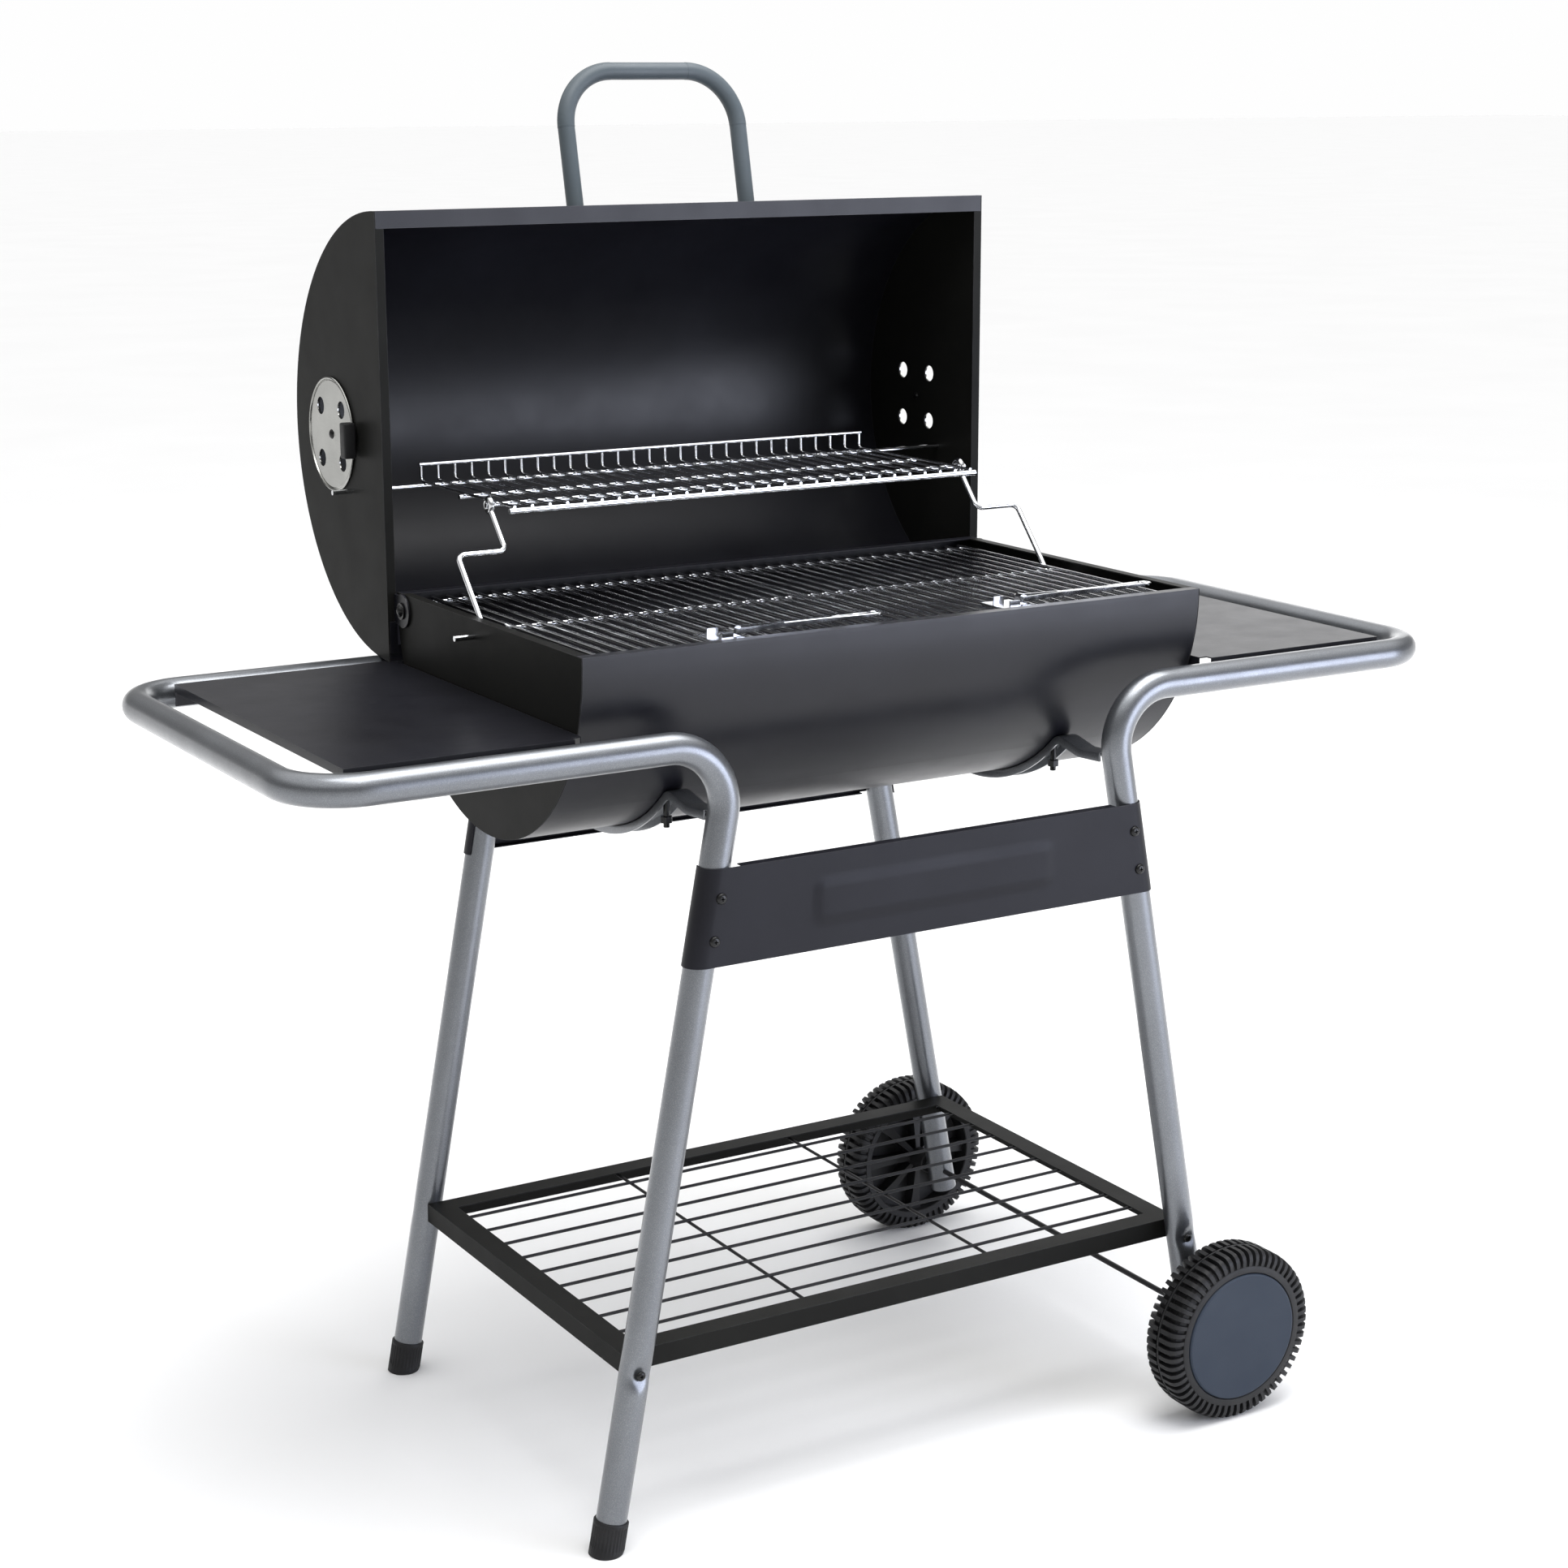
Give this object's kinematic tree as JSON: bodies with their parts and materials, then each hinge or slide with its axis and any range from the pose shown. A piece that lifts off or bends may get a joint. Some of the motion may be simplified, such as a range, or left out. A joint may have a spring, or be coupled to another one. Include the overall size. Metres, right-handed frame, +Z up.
{
  "type": "barrel charcoal grill",
  "caption": "Barrel charcoal grill with a hinged lid, warming rack, side tables and shelf on a wheeled tube trolley.",
  "frame": {"origin": "ground level, under the middle of the overall box", "axes": "+Z up, +X towards the wheel end, -Y towards the cook"},
  "size_m": [1.2906, 0.7574, 1.3762],
  "materials": {
    "black_enamel": "satin",
    "silver_paint": "satin metallic",
    "slate_paint": "satin",
    "slate_plastic": "matt",
    "black_plastic": "matt",
    "black_wire": "satin",
    "black_screws": "satin",
    "zinc_steel": "bright",
    "chrome_wire": "bright",
    "bare_wire": "dull"
  },
  "bodies": {
    "trolley": {"left_frame_tube": "silver_paint", "right_frame_tube": "silver_paint", "front_panel": "black_enamel", "back_panel": "black_enamel", "panel_screws": "black_screws", "left_saddle": "silver_paint", "right_saddle": "silver_paint", "saddle_bolts": "black_screws", "saddle_nuts": "black_screws", "left_side_table": "black_enamel", "right_side_table": "black_enamel", "table_screws": "black_screws", "shelf_frame": "black_wire", "shelf_wires": "black_wire", "shelf_screws": "black_screws", "front_foot_cap": "black_plastic", "back_foot_cap": "black_plastic", "axle": "black_wire", "axle_washers": "zinc_steel", "axle_push_nuts": "zinc_steel", "barrel_wrap": "black_enamel", "barrel_left_end": "black_enamel", "barrel_right_end": "black_enamel", "front_grate_ledge": "black_enamel", "back_grate_ledge": "black_enamel", "hinge_bolts": "black_screws", "hinge_nuts": "black_screws"},
    "front_wheel_body": {"front_wheel": "black_plastic", "front_wheel_cap": "slate_plastic"},
    "back_wheel_body": {"back_wheel": "black_plastic", "back_wheel_cap": "slate_plastic"},
    "lid": {"lid_wrap": "black_enamel", "lid_left_end": "black_enamel", "lid_right_end": "black_enamel", "left_hinge_ear": "black_enamel", "right_hinge_ear": "black_enamel", "lid_handle": "slate_paint", "lid_handle_screws": "black_screws", "damper_rivets": "zinc_steel"},
    "rack": {"warming_rack": "chrome_wire"},
    "left_leg": {"left_rack_leg": "chrome_wire"},
    "right_leg": {"right_rack_leg": "chrome_wire"},
    "left_damper_body": {"left_damper": "zinc_steel", "left_damper_knob": "black_plastic"},
    "right_damper_body": {"right_damper": "zinc_steel", "right_damper_knob": "black_plastic"},
    "left_grate": {"left_cooking_grate": "chrome_wire", "left_handle_bracket": "chrome_wire"},
    "right_grate": {"right_cooking_grate": "chrome_wire", "right_handle_bracket": "chrome_wire"},
    "left_bail": {"left_grate_handle": "chrome_wire"},
    "right_bail": {"right_grate_handle": "chrome_wire"},
    "coal_grate": {"charcoal_grate": "bare_wire"}
  },
  "joints": [
    {"name": "lid_hinge", "type": "hinge", "parent": "trolley", "child": "lid", "pos_m": [0, 0.13725, 0.84], "axis": [1, 0, 0], "range_deg": [0, 90]},
    {"name": "rack_pivot", "type": "hinge", "parent": "lid", "child": "rack", "pos_m": [0, 0.23525, 0.95], "axis": [1, 0, 0], "range_deg": [-90, 0]},
    {"name": "left_leg_pivot", "type": "hinge", "parent": "trolley", "child": "left_leg", "pos_m": [-0.336, -0.02675, 0.84], "axis": [1, 0, 0], "range_deg": [0, 90]},
    {"name": "right_leg_pivot", "type": "hinge", "parent": "trolley", "child": "right_leg", "pos_m": [0.328, -0.02675, 0.84], "axis": [1, 0, 0], "range_deg": [0, 90]},
    {"name": "left_damper_turn", "type": "hinge", "parent": "lid", "child": "left_damper_body", "pos_m": [-0.361, 0.28125, 1.004], "axis": [-1, 0, 0], "range_deg": [0, 45]},
    {"name": "right_damper_turn", "type": "hinge", "parent": "lid", "child": "right_damper_body", "pos_m": [0.361, 0.28125, 1.004], "axis": [-1, 0, 0], "range_deg": [0, 45]},
    {"name": "front_wheel_spin", "type": "hinge", "parent": "trolley", "child": "front_wheel_body", "pos_m": [0.33792, -0.35075, 0.092], "axis": [0, 1, 0], "continuous": true},
    {"name": "back_wheel_spin", "type": "hinge", "parent": "trolley", "child": "back_wheel_body", "pos_m": [0.33792, 0.24925, 0.092], "axis": [0, 1, 0], "continuous": true},
    {"name": "left_grate_lift", "type": "slide", "parent": "trolley", "child": "left_grate", "axis": [0, 0, -1], "range_m": [-0.045, 0]},
    {"name": "right_grate_lift", "type": "slide", "parent": "trolley", "child": "right_grate", "axis": [0, 0, -1], "range_m": [-0.045, 0]},
    {"name": "left_bail_fold", "type": "hinge", "parent": "left_grate", "child": "left_bail", "pos_m": [-0.168, -0.21375, 0.859], "axis": [0, 1, 0], "range_deg": [-90, 0]},
    {"name": "right_bail_fold", "type": "hinge", "parent": "right_grate", "child": "right_bail", "pos_m": [0.158, -0.21375, 0.859], "axis": [0, 1, 0], "range_deg": [-90, 0]},
    {"name": "coal_grate_lift", "type": "slide", "parent": "trolley", "child": "coal_grate", "axis": [0, 0, -1], "range_m": [-0.04, 0]}
  ],
  "couplings": [
    {"joint": "rack_pivot", "follows": "lid_hinge", "ratio": -1},
    {"joint": "left_leg_pivot", "follows": "lid_hinge", "ratio": 1},
    {"joint": "right_leg_pivot", "follows": "lid_hinge", "ratio": 1}
  ]
}
